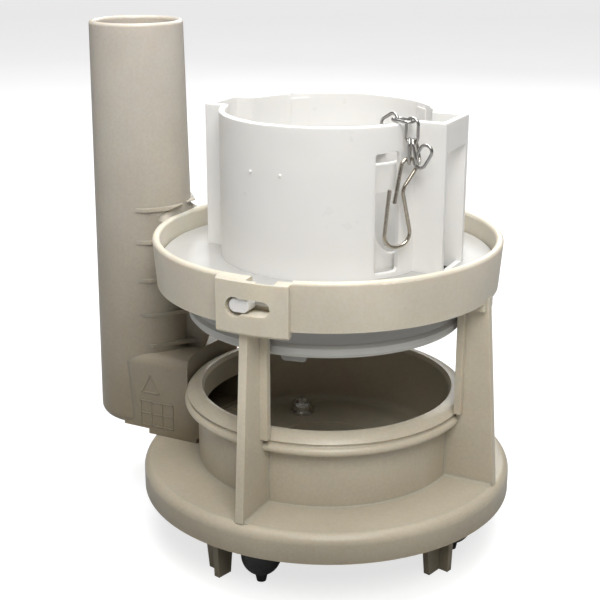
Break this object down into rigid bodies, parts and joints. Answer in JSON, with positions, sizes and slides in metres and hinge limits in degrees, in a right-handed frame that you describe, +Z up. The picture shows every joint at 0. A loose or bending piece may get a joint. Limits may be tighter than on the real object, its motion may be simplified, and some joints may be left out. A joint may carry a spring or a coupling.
{
  "type": "cistern flush valve",
  "caption": "Flush valve with a seat cup on a round flange, side overflow pipe, legs carrying a guide ring, a lifting float with a disc seal, and a pull chain with a hook.",
  "frame": {"origin": "on the outlet bore's axis, at the underside of the base flange", "axes": "+Z up along the valve axis, the overflow pipe stands on the -X side"},
  "size_m": [0.1681, 0.138, 0.1875],
  "materials": {
    "natural_plastic": "satin, slightly translucent beige-grey",
    "white_plastic": "satin white",
    "grey_rubber": "smooth translucent bluish grey",
    "black_rubber": "satin black",
    "steel": "bright zinc"
  },
  "bodies": {
    "frame": {"seat_cup": "natural_plastic", "outlet_spigot": "natural_plastic", "base_flange": "natural_plastic", "flange_skirt": "natural_plastic", "overflow_pipe": "natural_plastic", "overflow_duct": "natural_plastic", "pipe_web": "natural_plastic", "ring_saddle": "natural_plastic", "web_ribs": "natural_plastic", "guide_ring": "natural_plastic", "front_leg": "natural_plastic", "right_leg": "natural_plastic", "rear_leg": "natural_plastic", "stand_feet": "natural_plastic", "base_gasket": "black_rubber", "rubber_plugs": "black_rubber", "stud_washers": "steel", "dome_nuts": "steel", "fixing_studs": "steel"},
    "cage": {"guide_cage": "white_plastic", "cage_plate": "white_plastic", "bayonet_lugs": "white_plastic", "chain_link_01": "steel", "chain_link_02": "steel", "chain_link_03": "steel", "chain_link_04": "steel", "chain_link_05": "steel", "chain_link_06": "steel"},
    "valve": {"seal_ring": "grey_rubber", "seal_retainer": "white_plastic", "retainer_tabs": "white_plastic", "valve_disc": "white_plastic", "disc_rim": "white_plastic", "float_tube": "white_plastic", "guide_fins": "white_plastic", "float_bridge": "white_plastic", "lift_pin": "steel"},
    "slack_chain": {"chain_link_07": "steel", "chain_link_08": "steel", "chain_link_09": "steel", "chain_link_10": "steel"},
    "outer_chain": {"chain_link_11": "steel", "chain_link_12": "steel", "chain_link_13": "steel", "chain_link_14": "steel"},
    "hook": {"pull_hook": "steel"}
  },
  "joints": [
    {"name": "cage_twist", "type": "hinge", "parent": "frame", "child": "cage", "pos_m": [0, 0, 0.088], "axis": [0, 0, 1], "range_deg": [0, 6]},
    {"name": "valve_lift", "type": "slide", "parent": "cage", "child": "valve", "axis": [0, 0, 1], "range_m": [-0.0272, 0.0015]},
    {"name": "slack_swing", "type": "hinge", "parent": "cage", "child": "slack_chain", "pos_m": [0.01466, -0.00653, 0.11641], "axis": [0.4067, 0.9135, 0], "range_deg": [-60, 5]},
    {"name": "chain_swing", "type": "hinge", "parent": "cage", "child": "outer_chain", "pos_m": [0.03855, -0.01716, 0.14185], "axis": [-0.4067, -0.9135, 0], "range_deg": [0, 35]},
    {"name": "hook_swing", "type": "hinge", "parent": "outer_chain", "child": "hook", "pos_m": [0.03785, -0.01712, 0.12978], "axis": [-0.5736, -0.8192, 0], "range_deg": [0, 25]}
  ],
  "couplings": [
    {"joint": "slack_swing", "follows": "valve_lift", "rad_per_m": 37.96}
  ]
}
